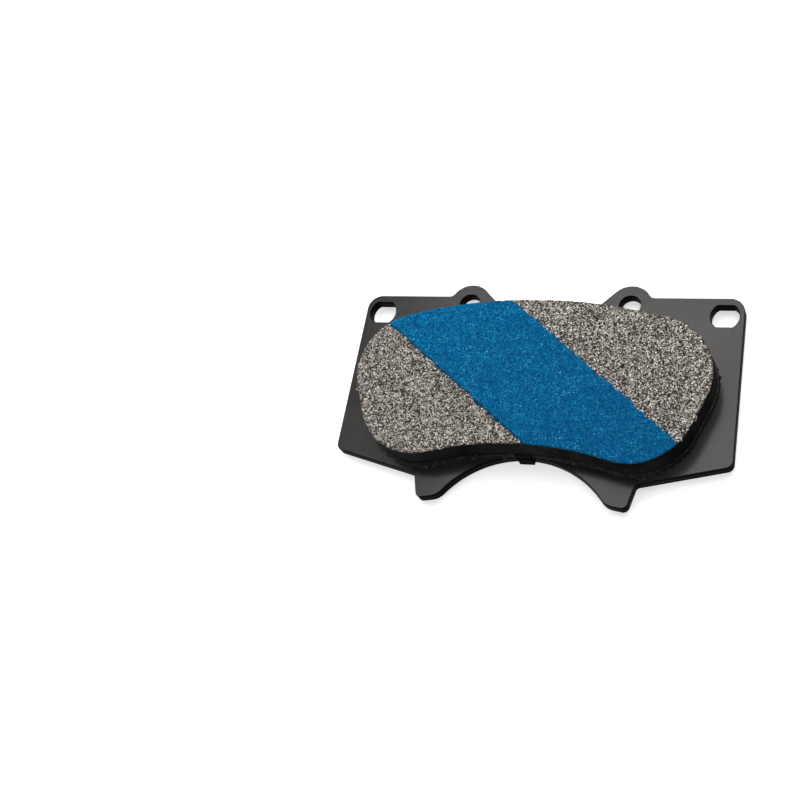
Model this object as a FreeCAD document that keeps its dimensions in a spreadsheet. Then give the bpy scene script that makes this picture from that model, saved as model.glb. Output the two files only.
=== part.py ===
import FreeCAD, Part

import math
import os

import Sketcher

# Front disc brake pad of a fixed four-piston caliper.
#
# Frame: the pad lies on its back. +Z is the way the friction face looks, towards the disc.
# +Y points away from the wheel's centre, to the ears that the retaining pins pass through,
# and -Y to the two legs and the arch between them. +X runs along the pad's length.
# The origin is the middle of the pad's outline, on the back of the noise shim.
#
# From the back forwards: rubber coat, steel shim with its hook, glue layer, steel backing
# plate, bonding film, underlayer with its plugs, friction block, bedding-in stripe.

# ---------------------------------------------------------------- driving sizes, mm and degrees

SIZES = (
    # backing plate, outline
    ("overall_length", 132.0, "between the sharp lower corners"),
    ("overall_height", 77.4, "from the bottom of the legs to the top of the ears"),
    ("plate_thickness", 4.0, "blanked steel plate"),
    ("lower_corner_rise", 15.5, "sharp lower corners above the bottom of the legs"),
    ("side_taper", 1.15, "degrees that each side leans in towards the top"),
    ("top_corner_radius", 5.0, "upper corners"),
    ("lower_corner_radius", 2.5, "lower corners"),
    ("lower_edge_angle", 14.0, "degrees that the lower edges fall towards the legs"),
    # backing plate, ears
    ("pin_spacing", 55.2, "between the two retaining pins"),
    ("pin_hole_diameter", 7.0, "clear of a 6.5 mm retaining pin"),
    ("ear_wall", 3.75, "steel round a pin hole"),
    ("ear_rise", 4.3, "top of the ears above the top edge"),
    ("ear_foot_radius", 2.0, "where an ear meets the outer top edge"),
    ("ear_flank_radius", 6.0, "where an ear meets the waist"),
    ("ear_flank_angle", 45.0, "degrees that an ear's inner flank slopes"),
    ("waist_drop", 3.7, "waist between the ears, below the top edge"),
    # backing plate, corner holes for the anti-rattle spring
    ("spring_hole_wall", 1.6, "steel between a corner hole and the plate's end"),
    ("spring_hole_diameter", 9.2, "round ends of a corner hole"),
    ("spring_hole_flats", 7.6, "from the upper to the lower flat of a corner hole"),
    ("spring_hole_corner_radius", 0.9, "between the round ends and the flats of a corner hole"),
    ("spring_hole_drop", 6.4, "centre of a corner hole below the top edge"),
    # backing plate, legs and arch
    ("arch_radius", 33.5, "arch between the legs"),
    ("arch_height", 15.5, "top of the arch above the bottom of the legs"),
    ("leg_sole", 2.8, "flat at the bottom of a leg"),
    ("leg_sole_angle", 10.0, "degrees that a leg's flat rises towards the arch"),
    ("leg_side_angle", 13.5, "degrees that a leg's outer side leans out upwards"),
    ("leg_toe_radius", 2.0, "outer corner at the bottom of a leg"),
    ("leg_heel_radius", 6.0, "inner corner at the bottom of a leg"),
    ("leg_root_radius", 1.5, "where a leg meets the lower edge"),
    # backing plate, retention holes that the underlayer is pressed into
    ("plug_diameter", 8.0, "retention holes"),
    ("plug_gap", 0.04, "all round a plug"),
    ("inner_plug_spacing", 34.0, "between the two inner retention holes"),
    ("inner_plug_rise", 8.0, "inner retention holes above the origin"),
    ("outer_plug_spacing", 78.0, "between the two outer retention holes"),
    ("outer_plug_rise", -6.0, "outer retention holes above the origin"),
    # edges of the blanked plate
    ("die_roll", 0.3, "round edge of the outline on the friction side"),
    ("edge_break", 0.25, "tumbled edge on the back and round the holes"),
    # lining
    ("lining_end_margin", 6.9, "plate beyond each end of the friction block"),
    ("lining_top_margin", 2.95, "plate's waist above the top of the friction block"),
    ("lining_top_radius", 163.0, "outer edge of the lining"),
    ("lining_shoulder_radius", 20.3, "upper ends of the lining"),
    ("lining_nose_radius", 20.1, "lower ends of the lining"),
    ("lining_nose_spacing", 70.4, "between the centres of the lower ends"),
    ("lining_arch_radius", 109.0, "inner edge of the lining"),
    ("lining_edge_margin", 0.25, "lining above the top of the plate's arch"),
    ("friction_thickness", 9.0, "friction block"),
    ("underlayer_thickness", 2.0, "insulating layer behind the friction block"),
    ("bond_thickness", 0.2, "cured bonding film"),
    ("flash_width", 0.35, "underlayer and film beyond the friction block"),
    # bedding-in stripe
    ("stripe_width", 32.7, "across the stripe"),
    ("stripe_angle", 38.8, "degrees that the stripe falls towards +X"),
    ("stripe_offset", 0.55, "from the origin down to the stripe's centre line"),
    ("stripe_thickness", 0.15, "baked coating"),
    # noise shim
    ("shim_inset", 0.8, "shim inside the friction block's outline"),
    ("glue_thickness", 0.1, "pressure-sensitive glue on the plate's back"),
    ("shim_thickness", 0.8, "steel core"),
    ("coat_thickness", 0.2, "rubber coat that the pistons press on"),
    ("hook_width", 4.7, "hook over the plate's lower edge"),
    ("hook_gap", 0.15, "between the hook and the plate"),
    ("hook_lip", 3.2, "height of the lip in front of the plate"),
    ("hook_bend_radius", 0.3, "inside the two bends of the hook"),
    ("hook_corner_radius", 0.9, "coined edges of the hook's outer side"),
    ("hook_notch_gap", 0.4, "between the lip and the notch in the underlayer"),
)

SIZE = {alias: value for alias, value, note in SIZES}

# Where each layer starts above the back of the shim, as sums of the layers behind it.
ABOVE_COAT = "sizes.coat_thickness"
ABOVE_SHIM = ABOVE_COAT + " + sizes.shim_thickness"
ABOVE_GLUE = ABOVE_SHIM + " + sizes.glue_thickness"
ABOVE_PLATE = ABOVE_GLUE + " + sizes.plate_thickness"
ABOVE_BOND = ABOVE_PLATE + " + sizes.bond_thickness"
ABOVE_UNDERLAYER = ABOVE_BOND + " + sizes.underlayer_thickness"
ABOVE_FRICTION = ABOVE_UNDERLAYER + " + sizes.friction_thickness"

# Heights in the outline, from the origin.
BOTTOM_Y = "-sizes.overall_height / 2"
TOP_EDGE_Y = "sizes.overall_height / 2 - sizes.ear_rise"
ARCH_Y = BOTTOM_Y + " + sizes.arch_height"
EAR_RADIUS = "sizes.pin_hole_diameter / 2 + sizes.ear_wall"
EAR_Y = "sizes.overall_height / 2 - (" + EAR_RADIUS + ")"
WAIST_Y = TOP_EDGE_Y + " - sizes.waist_drop"
LOW_CORNER_Y = BOTTOM_Y + " + sizes.lower_corner_rise"
HOLE_Y = TOP_EDGE_Y + " - sizes.spring_hole_drop"
# How far the plate's end leans in between the sharp lower corner and a corner hole.
HOLE_LEAN = f"tan(sizes.side_taper * 1 deg) * ({HOLE_Y} - ({LOW_CORNER_Y}))"
CROWN_Y = WAIST_Y + " - sizes.lining_top_margin"

ORIGIN = (-1, 1)
START, END, CENTRE = range(1, 4)
UP = FreeCAD.Vector(0, 0, 1)
CLOSE = 1e-4

doc = FreeCAD.newDocument("brake_pad")
sheet = doc.addObject("Spreadsheet::Sheet", "sizes")
for row, (alias, value, note) in enumerate(SIZES, start=1):
    sheet.set(f"A{row}", note)
    sheet.set(f"B{row}", str(value))
    sheet.setAlias(f"B{row}", alias)
doc.recompute()


# ---------------------------------------------------------------- sketches

def point(x, y):
    return FreeCAD.Vector(x, y, 0)


def polar(centre, radius, degrees):
    turn = math.radians(degrees)
    return centre + point(radius * math.cos(turn), radius * math.sin(turn))


def meet(start, degrees, other, other_degrees):
    """The point where a line from start meets a line from other."""
    way = polar(point(0, 0), 1, degrees)
    other_way = polar(point(0, 0), 1, other_degrees)
    gap = other - start
    reach = (gap.x * other_way.y - gap.y * other_way.x) / (way.x * other_way.y - way.y * other_way.x)
    return start + way * reach


def corner(sharp, degrees_in, degrees_out, radius):
    """The arc that rounds a sharp corner, as centre, radius, first and last angle."""
    turn = degrees_out - degrees_in
    side = 90 if turn > 0 else -90
    back = radius * math.tan(math.radians(abs(turn) / 2))
    centre = polar(polar(sharp, -back, degrees_in), radius, degrees_in + side)
    return centre, radius, degrees_in - side, degrees_out - side


class Outline:
    """A closed outline in a sketch, drawn piece by piece in one direction round it."""

    def __init__(self, sketch):
        self.sketch = sketch
        self.last = None
        self.first = None

    def join(self, geometry, start, end, smooth):
        if self.last is None:
            self.first = (geometry, start)
        elif smooth:
            self.sketch.addConstraint(Sketcher.Constraint("Tangent", *self.last, geometry, start))
        else:
            self.sketch.addConstraint(Sketcher.Constraint("Coincident", *self.last, geometry, start))
        self.last = (geometry, end)
        return geometry

    def arc(self, centre, radius, first, last, smooth=True):
        """An arc from angle first to angle last, clockwise where last is the smaller."""
        low, high = math.radians(min(first, last)), math.radians(max(first, last))
        circle = Part.Circle(centre, UP, radius)
        geometry = self.sketch.addGeometry(Part.ArcOfCircle(circle, low, high), False)
        ends = (START, END) if first < last else (END, START)
        return self.join(geometry, *ends, smooth)

    def line(self, start, end, smooth=True):
        geometry = self.sketch.addGeometry(Part.LineSegment(start, end), False)
        return self.join(geometry, START, END, smooth)

    def close(self):
        self.sketch.addConstraint(Sketcher.Constraint("Coincident", *self.last, *self.first))


def drive(sketch, constraint, formula):
    """Adds a constraint whose value comes from the sheet."""
    index = sketch.addConstraint(constraint)
    sketch.setExpression(f"Constraints[{index}]", formula)


def set_radius(sketch, geometry, formula):
    radius = sketch.Geometry[geometry].Radius
    drive(sketch, Sketcher.Constraint("Radius", geometry, radius), formula)


def set_x(sketch, geometry, spot, formula):
    place = sketch.getPoint(geometry, spot).x
    drive(sketch, Sketcher.Constraint("DistanceX", *ORIGIN, geometry, spot, place), formula)


def set_y(sketch, geometry, spot, formula):
    place = sketch.getPoint(geometry, spot).y
    drive(sketch, Sketcher.Constraint("DistanceY", *ORIGIN, geometry, spot, place), formula)


def set_slope(sketch, geometry, formula):
    way = sketch.getPoint(geometry, END) - sketch.getPoint(geometry, START)
    slope = math.atan2(way.y, way.x)
    drive(sketch, Sketcher.Constraint("Angle", geometry, slope), f"({formula}) * 1 deg")


def on_axis(sketch, geometry, spot):
    """Puts a point on the sketch's vertical axis, which has the number -2."""
    sketch.addConstraint(Sketcher.Constraint("PointOnObject", geometry, spot, -2))


def level(sketch, geometry):
    sketch.addConstraint(Sketcher.Constraint("Horizontal", geometry))


def crossing(sketch, place, first, second):
    """A construction point where two lines of the outline would meet."""
    mark = sketch.addGeometry(Part.Point(place), True)
    for line in (first, second):
        sketch.addConstraint(Sketcher.Constraint("PointOnObject", mark, START, line))
    return mark


def circle(sketch, x, y, diameter, x_formula, y_formula, diameter_formula):
    ring = sketch.addGeometry(Part.Circle(point(x, y), UP, diameter / 2), False)
    set_radius(sketch, ring, f"({diameter_formula}) / 2")
    set_x(sketch, ring, CENTRE, x_formula)
    set_y(sketch, ring, CENTRE, y_formula)


# ---------------------------------------------------------------- bodies and features

def new_body(name, height):
    """A body whose own XY plane lies at a height worked out from the sheet."""
    body = doc.addObject("PartDesign::Body", name)
    body.Label = name
    if height:
        body.setExpression("Placement.Base.z", height)
    return body


def plane(body, role):
    return next(item for item in body.Origin.OriginFeatures if item.Role == role)


def new_sketch(body, name, role="XY_Plane"):
    sketch = body.newObject("Sketcher::SketchObject", name)
    sketch.AttachmentSupport = (plane(body, role), [""])
    sketch.MapMode = "FlatFace"
    return sketch


def pad(body, sketch, name, length, backwards=False, both_ways=False):
    feature = body.newObject("PartDesign::Pad", name)
    feature.Profile = sketch
    feature.setExpression("Length", length)
    feature.Reversed = backwards
    if both_ways:
        feature.SideType = "Symmetric"
    doc.recompute()
    return feature


def cut_through(body, sketch, name):
    before = body.Shape.Volume
    feature = body.newObject("PartDesign::Pocket", name)
    feature.Profile = sketch
    feature.Type = "ThroughAll"
    feature.SideType = "Symmetric"
    doc.recompute()
    if not body.Shape.Volume < before:
        raise RuntimeError(f"{name} cuts nothing")
    return feature


def mirror(body, name, features=()):
    """The features made again on the -X side of the body, or the whole body if none is given."""
    feature = body.newObject("PartDesign::Mirrored", name)
    if features:
        feature.Originals = list(features)
    else:
        feature.TransformMode = "Whole shape"
    feature.MirrorPlane = (plane(body, "YZ_Plane"), [""])
    feature.Refine = True
    body.Tip = feature
    doc.recompute()
    return feature


def dress_edges(body, kind, name, chosen, formula):
    """A fillet or chamfer on the edges of the body for which chosen(edge) is true."""
    base = body.Tip
    edges = [f"Edge{i}" for i, edge in enumerate(base.Shape.Edges, start=1) if chosen(edge)]
    feature = body.newObject(f"PartDesign::{kind}", name)
    feature.Base = (base, edges)
    feature.setExpression("Radius" if kind == "Fillet" else "Size", formula)
    body.Tip = feature
    doc.recompute()
    return feature


# ---------------------------------------------------------------- backing plate

def ear_centre():
    """Middle of the ear and of its pin hole."""
    radius = SIZE["pin_hole_diameter"] / 2 + SIZE["ear_wall"]
    return point(SIZE["pin_spacing"] / 2, SIZE["overall_height"] / 2 - radius)


def draw_plate_half(sketch):
    """The +X half of the plate's outline, from the top of the arch round to the waist."""
    bottom = -SIZE["overall_height"] / 2
    top = SIZE["overall_height"] / 2 - SIZE["ear_rise"]
    arch_top = point(0, bottom + SIZE["arch_height"])
    arch_centre = arch_top - point(0, SIZE["arch_radius"])
    leg_up = 90 - SIZE["leg_side_angle"]
    side_up = 90 + SIZE["side_taper"]

    sole_down = 270 - SIZE["leg_sole_angle"]
    sole_rise = math.sin(math.radians(SIZE["leg_sole_angle"])) * SIZE["leg_sole"]
    centre_rise = SIZE["leg_heel_radius"] - SIZE["leg_toe_radius"]
    centre_rise *= math.cos(math.radians(SIZE["leg_sole_angle"]))
    heel_reach = SIZE["arch_radius"] + SIZE["leg_heel_radius"]
    heel_y = bottom + SIZE["leg_toe_radius"] + centre_rise + sole_rise
    heel = point(math.sqrt(heel_reach ** 2 - (heel_y - arch_centre.y) ** 2), heel_y)
    heel_from = math.degrees(math.atan2(heel.y - arch_centre.y, heel.x))

    sole_start = polar(heel, SIZE["leg_heel_radius"], sole_down)
    sole_end = polar(sole_start, SIZE["leg_sole"], sole_down + 90)
    toe = polar(sole_end, SIZE["leg_toe_radius"], sole_down - 180)
    side_start = polar(toe, SIZE["leg_toe_radius"], leg_up - 90)
    low_corner = point(SIZE["overall_length"] / 2, bottom + SIZE["lower_corner_rise"])
    root_corner = meet(side_start, leg_up, low_corner, SIZE["lower_edge_angle"])
    high_corner = meet(low_corner, side_up, point(0, top), 0)
    root = corner(root_corner, leg_up, SIZE["lower_edge_angle"], SIZE["leg_root_radius"])
    low = corner(low_corner, SIZE["lower_edge_angle"], side_up, SIZE["lower_corner_radius"])
    high = corner(high_corner, side_up, 180, SIZE["top_corner_radius"])

    ear_radius = SIZE["pin_hole_diameter"] / 2 + SIZE["ear_wall"]
    ear = ear_centre()
    foot_reach = ear_radius + SIZE["ear_foot_radius"]
    foot_y = top + SIZE["ear_foot_radius"]
    foot = point(ear.x + math.sqrt(foot_reach ** 2 - (foot_y - ear.y) ** 2), foot_y)
    foot_from = math.degrees(math.atan2(foot.y - ear.y, foot.x - ear.x))
    flank_down = 180 + SIZE["ear_flank_angle"]
    flank_start = polar(ear, ear_radius, flank_down - 90)
    waist = point(0, top - SIZE["waist_drop"])
    flank_corner = meet(flank_start, flank_down, waist, 0)
    flank = corner(flank_corner, flank_down, 180, SIZE["ear_flank_radius"])

    outline = Outline(sketch)
    arch = outline.arc(arch_centre, SIZE["arch_radius"], 90, heel_from)
    heel_arc = outline.arc(heel, SIZE["leg_heel_radius"], 180 + heel_from, sole_down)
    sole = outline.line(sole_start, sole_end)
    toe_arc = outline.arc(toe, SIZE["leg_toe_radius"], sole_down - 360, leg_up - 90)
    leg_side = outline.line(side_start, polar(*root[:2], root[2]))
    root_arc = outline.arc(*root)
    lower_edge = outline.line(polar(*root[:2], root[3]), polar(*low[:2], low[2]))
    low_arc = outline.arc(*low)
    side = outline.line(polar(*low[:2], low[3]), polar(*high[:2], high[2]))
    high_arc = outline.arc(*high)
    top_edge = outline.line(polar(*high[:2], high[3]), point(foot.x, top))
    foot_arc = outline.arc(foot, SIZE["ear_foot_radius"], 270, 180 + foot_from)
    ear_arc = outline.arc(ear, ear_radius, foot_from, flank_down - 90)
    flank_line = outline.line(flank_start, polar(*flank[:2], flank[2]))
    flank_arc = outline.arc(*flank)
    waist_edge = outline.line(polar(*flank[:2], flank[3]), waist)
    middle = outline.line(waist, arch_top, smooth=False)
    outline.close()

    set_radius(sketch, arch, "sizes.arch_radius")
    set_radius(sketch, heel_arc, "sizes.leg_heel_radius")
    set_radius(sketch, toe_arc, "sizes.leg_toe_radius")
    set_radius(sketch, root_arc, "sizes.leg_root_radius")
    set_radius(sketch, low_arc, "sizes.lower_corner_radius")
    set_radius(sketch, high_arc, "sizes.top_corner_radius")
    set_radius(sketch, foot_arc, "sizes.ear_foot_radius")
    set_radius(sketch, ear_arc, EAR_RADIUS)
    set_radius(sketch, flank_arc, "sizes.ear_flank_radius")

    on_axis(sketch, arch, CENTRE)
    on_axis(sketch, middle, START)
    on_axis(sketch, middle, END)
    set_y(sketch, middle, END, ARCH_Y)
    set_y(sketch, toe_arc, CENTRE, BOTTOM_Y + " + sizes.leg_toe_radius")
    set_slope(sketch, sole, "-sizes.leg_sole_angle")
    set_slope(sketch, leg_side, "90 - sizes.leg_side_angle")
    drive(
        sketch,
        Sketcher.Constraint("Distance", sole, SIZE["leg_sole"]),
        "sizes.leg_sole",
    )
    set_slope(sketch, lower_edge, "sizes.lower_edge_angle")
    set_slope(sketch, side, "90 + sizes.side_taper")
    low_mark = crossing(sketch, low_corner, lower_edge, side)
    set_x(sketch, low_mark, START, "sizes.overall_length / 2")
    set_y(sketch, low_mark, START, LOW_CORNER_Y)
    level(sketch, top_edge)
    set_y(sketch, top_edge, START, TOP_EDGE_Y)
    set_x(sketch, ear_arc, CENTRE, "sizes.pin_spacing / 2")
    set_y(sketch, ear_arc, CENTRE, EAR_Y)
    set_slope(sketch, flank_line, "sizes.ear_flank_angle - 180")
    level(sketch, waist_edge)
    set_y(sketch, waist_edge, START, WAIST_Y)


def spring_hole_centre():
    radius = SIZE["spring_hole_diameter"] / 2
    centre_y = SIZE["overall_height"] / 2 - SIZE["ear_rise"] - SIZE["spring_hole_drop"]
    low_corner_y = SIZE["lower_corner_rise"] - SIZE["overall_height"] / 2
    lean = math.tan(math.radians(SIZE["side_taper"])) * (centre_y - low_corner_y)
    end_x = SIZE["overall_length"] / 2 - lean
    return point(end_x - SIZE["spring_hole_wall"] - radius, centre_y)


def draw_spring_hole(sketch):
    """A round hole with a flat above and below, in the plate's upper corner."""
    radius = SIZE["spring_hole_diameter"] / 2
    centre = spring_hole_centre()
    end = math.degrees(math.asin(SIZE["spring_hole_flats"] / 2 / radius))
    outline = Outline(sketch)
    right = outline.arc(centre, radius, -end, end)
    upper = outline.line(polar(centre, radius, end), polar(centre, radius, 180 - end), smooth=False)
    left = outline.arc(centre, radius, 180 - end, 180 + end, smooth=False)
    lower = outline.line(polar(centre, radius, 180 + end), polar(centre, radius, -end), smooth=False)
    outline.close()
    sketch.addConstraint(Sketcher.Constraint("Coincident", right, CENTRE, left, CENTRE))
    sketch.addConstraint(Sketcher.Constraint("Equal", right, left))
    level(sketch, upper)
    level(sketch, lower)
    set_radius(sketch, right, "sizes.spring_hole_diameter / 2")
    hole_end = "sizes.spring_hole_wall + sizes.spring_hole_diameter / 2"
    set_x(sketch, right, CENTRE, f"sizes.overall_length / 2 - {HOLE_LEAN} - ({hole_end})")
    set_y(sketch, right, CENTRE, HOLE_Y)
    set_y(sketch, upper, START, HOLE_Y + " + sizes.spring_hole_flats / 2")
    sketch.addConstraint(Sketcher.Constraint("Equal", upper, lower))


def draw_plugs(sketch, smaller, smaller_formula):
    """The +X circles of the retention holes, or of the plugs that fill them."""
    for pair in ("inner", "outer"):
        circle(
            sketch,
            SIZE[f"{pair}_plug_spacing"] / 2,
            SIZE[f"{pair}_plug_rise"],
            SIZE["plug_diameter"] - smaller,
            f"sizes.{pair}_plug_spacing / 2",
            f"sizes.{pair}_plug_rise",
            f"sizes.plug_diameter - {smaller_formula}",
        )


def is_at_height(edge, height):
    box = edge.BoundBox
    return abs(box.ZMin - height) < CLOSE and abs(box.ZMax - height) < CLOSE


def is_in_corner_hole(edge):
    middle = edge.BoundBox.Center
    middle.z = 0
    return (middle - spring_hole_centre()).Length < SIZE["spring_hole_diameter"] / 2 + CLOSE


def is_corner_of_hole(edge):
    """True on the upright edges between a corner hole's round ends and flats."""
    return is_in_corner_hole(edge) and edge.BoundBox.ZLength > SIZE["plate_thickness"] / 2


def is_hole_rim(edge):
    """True on the rims of the pin hole and of the corner hole."""
    middle = edge.BoundBox.Center
    middle.z = 0
    in_ear = (middle - ear_centre()).Length < SIZE["pin_hole_diameter"] / 2
    return in_ear or is_in_corner_hole(edge)


def is_rolled_edge(edge):
    """True on the outline of the front, except in the middle plane."""
    outside = edge.BoundBox.XMax > CLOSE
    return outside and is_at_height(edge, SIZE["plate_thickness"]) and not is_hole_rim(edge)


def is_broken_edge(edge):
    """True on the outline of the back and on both rims of each hole."""
    outside = edge.BoundBox.XMax > CLOSE
    at_front = is_at_height(edge, SIZE["plate_thickness"])
    return outside and (is_at_height(edge, 0) or at_front and is_hole_rim(edge))


def make_backing_plate():
    """Blanked steel plate: ears, corner holes, legs, arch and retention holes."""
    body = new_body("backing_plate", ABOVE_GLUE)
    profile = new_sketch(body, "plate_profile")
    draw_plate_half(profile)
    pad(body, profile, "plate_half", "sizes.plate_thickness")
    pin_sketch = new_sketch(body, "pin_hole_circle")
    circle(
        pin_sketch,
        ear_centre().x,
        ear_centre().y,
        SIZE["pin_hole_diameter"],
        "sizes.pin_spacing / 2",
        EAR_Y,
        "sizes.pin_hole_diameter",
    )
    cut_through(body, pin_sketch, "pin_hole")
    spring_sketch = new_sketch(body, "spring_hole_outline")
    draw_spring_hole(spring_sketch)
    cut_through(body, spring_sketch, "spring_hole")
    radius = "sizes.spring_hole_corner_radius"
    dress_edges(body, "Fillet", "spring_hole_corners", is_corner_of_hole, radius)
    dress_edges(body, "Fillet", "die_roll", is_rolled_edge, "sizes.die_roll")
    dress_edges(body, "Chamfer", "edge_break", is_broken_edge, "sizes.edge_break")
    plug_sketch = new_sketch(body, "retention_circles")
    draw_plugs(plug_sketch, 0, "0")
    cut_through(body, plug_sketch, "retention_holes")
    mirror(body, "both_halves")
    return body


# ---------------------------------------------------------------- lining

def draw_lining_half(sketch, grow, grow_formula):
    """The +X half of the lining's outline, moved outwards by grow all round."""
    waist = SIZE["overall_height"] / 2 - SIZE["ear_rise"] - SIZE["waist_drop"]
    crown = point(0, waist - SIZE["lining_top_margin"] + grow)
    plate_arch = SIZE["arch_height"] - SIZE["overall_height"] / 2
    hollow = point(0, plate_arch + SIZE["lining_edge_margin"] - grow)
    top_radius = SIZE["lining_top_radius"] + grow
    arch_radius = SIZE["lining_arch_radius"] - grow
    shoulder_radius = SIZE["lining_shoulder_radius"] + grow
    nose_radius = SIZE["lining_nose_radius"] + grow

    top_centre = crown - point(0, top_radius)
    lining_end = SIZE["overall_length"] / 2 - SIZE["lining_end_margin"]
    shoulder_x = lining_end - SIZE["lining_shoulder_radius"]
    shoulder_y = top_centre.y + math.sqrt((top_radius - shoulder_radius) ** 2 - shoulder_x ** 2)
    shoulder = point(shoulder_x, shoulder_y)
    top_end = math.degrees(math.atan2(shoulder.y - top_centre.y, shoulder.x))

    arch_centre = hollow - point(0, arch_radius)
    nose_x = SIZE["lining_nose_spacing"] / 2
    nose_y = arch_centre.y + math.sqrt((arch_radius + nose_radius) ** 2 - nose_x ** 2)
    nose = point(nose_x, nose_y)
    nose_end = math.degrees(math.atan2(nose.y - arch_centre.y, nose.x))

    between = shoulder - nose
    lean = math.degrees(math.atan2(between.y, between.x))
    lean -= math.degrees(math.acos((nose_radius - shoulder_radius) / between.Length))

    outline = Outline(sketch)
    arch = outline.arc(arch_centre, arch_radius, 90, nose_end)
    nose_arc = outline.arc(nose, nose_radius, nose_end - 180, lean)
    outline.line(polar(nose, nose_radius, lean), polar(shoulder, shoulder_radius, lean))
    shoulder_arc = outline.arc(shoulder, shoulder_radius, lean, top_end)
    top = outline.arc(top_centre, top_radius, top_end, 90)
    middle = outline.line(crown, hollow, smooth=False)
    outline.close()

    set_radius(sketch, arch, f"sizes.lining_arch_radius - ({grow_formula})")
    set_radius(sketch, nose_arc, f"sizes.lining_nose_radius + {grow_formula}")
    set_radius(sketch, shoulder_arc, f"sizes.lining_shoulder_radius + {grow_formula}")
    set_radius(sketch, top, f"sizes.lining_top_radius + {grow_formula}")
    on_axis(sketch, arch, CENTRE)
    on_axis(sketch, top, CENTRE)
    on_axis(sketch, middle, START)
    on_axis(sketch, middle, END)
    set_x(sketch, nose_arc, CENTRE, "sizes.lining_nose_spacing / 2")
    lining_end_formula = "sizes.overall_length / 2 - sizes.lining_end_margin"
    shoulder_formula = f"{lining_end_formula} - sizes.lining_shoulder_radius"
    set_x(sketch, shoulder_arc, CENTRE, shoulder_formula)
    set_y(sketch, middle, START, f"{CROWN_Y} + {grow_formula}")
    set_y(sketch, middle, END, f"{ARCH_Y} + sizes.lining_edge_margin - ({grow_formula})")


def make_lining_slab(name, height, thickness, grow, grow_formula):
    """A flat slab with the lining's outline, moved outwards by grow."""
    body = new_body(name, height)
    profile = new_sketch(body, f"{name}_profile")
    draw_lining_half(profile, grow, grow_formula)
    half = pad(body, profile, f"{name}_half", thickness)
    mirror(body, f"{name}_whole", [half])
    return body


def cut_hook_notch(body):
    """Room for the shim's hook at the middle of the lower edge."""
    wide = SIZE["hook_width"] / 2 + SIZE["hook_notch_gap"]
    plate_arch = SIZE["arch_height"] - SIZE["overall_height"] / 2
    low = plate_arch - SIZE["hook_lip"]
    high = hook_outer_y() + SIZE["hook_lip"] + SIZE["hook_notch_gap"]
    sketch = new_sketch(body, f"{body.Name}_notch_outline")
    outline = Outline(sketch)
    floor = outline.line(point(-wide, low), point(wide, low), smooth=False)
    right = outline.line(point(wide, low), point(wide, high), smooth=False)
    roof = outline.line(point(wide, high), point(-wide, high), smooth=False)
    left = outline.line(point(-wide, high), point(-wide, low), smooth=False)
    outline.close()
    for line in (floor, roof):
        level(sketch, line)
    for line in (right, left):
        sketch.addConstraint(Sketcher.Constraint("Vertical", line))
    set_x(sketch, right, START, "sizes.hook_width / 2 + sizes.hook_notch_gap")
    set_x(sketch, left, START, "-(sizes.hook_width / 2 + sizes.hook_notch_gap)")
    set_y(sketch, floor, START, f"{ARCH_Y} - sizes.hook_lip")
    set_y(sketch, roof, START, f"{HOOK_OUTER_Y} + sizes.hook_lip + sizes.hook_notch_gap")
    cut_through(body, sketch, f"{body.Name}_notch")


def make_bonding_film():
    """Cured adhesive between the plate and the underlayer, open where the plugs pass."""
    grow = SIZE["flash_width"]
    body = make_lining_slab("bonding_film", ABOVE_PLATE, "sizes.bond_thickness", grow, "sizes.flash_width")
    sketch = new_sketch(body, "film_circles")
    draw_plugs(sketch, 0, "0")
    holes = cut_through(body, sketch, "film_holes")
    mirror(body, "film_holes_mirrored", [holes])
    cut_hook_notch(body)
    return body


def make_underlayer():
    """Insulating layer, with plugs pressed back through the film and the plate."""
    grow = SIZE["flash_width"]
    body = make_lining_slab(
        "underlayer", ABOVE_BOND, "sizes.underlayer_thickness", grow, "sizes.flash_width"
    )
    cut_hook_notch(body)
    sketch = new_sketch(body, "plug_circles")
    draw_plugs(sketch, 2 * SIZE["plug_gap"], "2 * sizes.plug_gap")
    depth = "sizes.bond_thickness + sizes.plate_thickness"
    plugs = pad(body, sketch, "plugs", depth, backwards=True)
    mirror(body, "plugs_mirrored", [plugs])
    return body


def make_friction_block():
    return make_lining_slab("friction_block", ABOVE_UNDERLAYER, "sizes.friction_thickness", 0, "0")


def make_stripe_coating():
    """Bedding-in coat: the part of a straight band that lies on the friction face."""
    coat = make_lining_slab("coated_face", ABOVE_FRICTION, "sizes.stripe_thickness", 0, "0")
    band = doc.addObject("Part::Box", "band")
    length = "(2 * sizes.overall_length)"
    band.setExpression("Length", length)
    band.setExpression("Width", "sizes.stripe_width")
    band.setExpression("Height", "sizes.stripe_thickness")
    band.Placement.Rotation = FreeCAD.Rotation(UP, -SIZE["stripe_angle"])
    band.setExpression("Placement.Rotation.Angle", "-sizes.stripe_angle * 1 deg")
    along = "sizes.stripe_angle * 1 deg"
    aside = "(sizes.stripe_offset + sizes.stripe_width / 2)"
    band.setExpression("Placement.Base.x", f"-{length} / 2 * cos({along}) - {aside} * sin({along})")
    band.setExpression("Placement.Base.y", f"{length} / 2 * sin({along}) - {aside} * cos({along})")
    band.setExpression("Placement.Base.z", ABOVE_FRICTION)
    stripe = doc.addObject("Part::Common", "stripe_coating")
    stripe.Label = "stripe_coating"
    stripe.Base = coat
    stripe.Tool = band
    doc.recompute()
    return stripe


# ---------------------------------------------------------------- noise shim

# The hook's web runs under the plate. The plate's edge is an arch, so at the hook's sides it
# is a little lower than at its top.
HOOK_INNER_Y = (
    f"{ARCH_Y} - sizes.arch_radius + sqrt(sizes.arch_radius ^ 2 - sizes.hook_width ^ 2 / 4)"
    " - sizes.hook_gap"
)
HOOK_OUTER_Y = f"{HOOK_INNER_Y} - sizes.shim_thickness"


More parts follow.
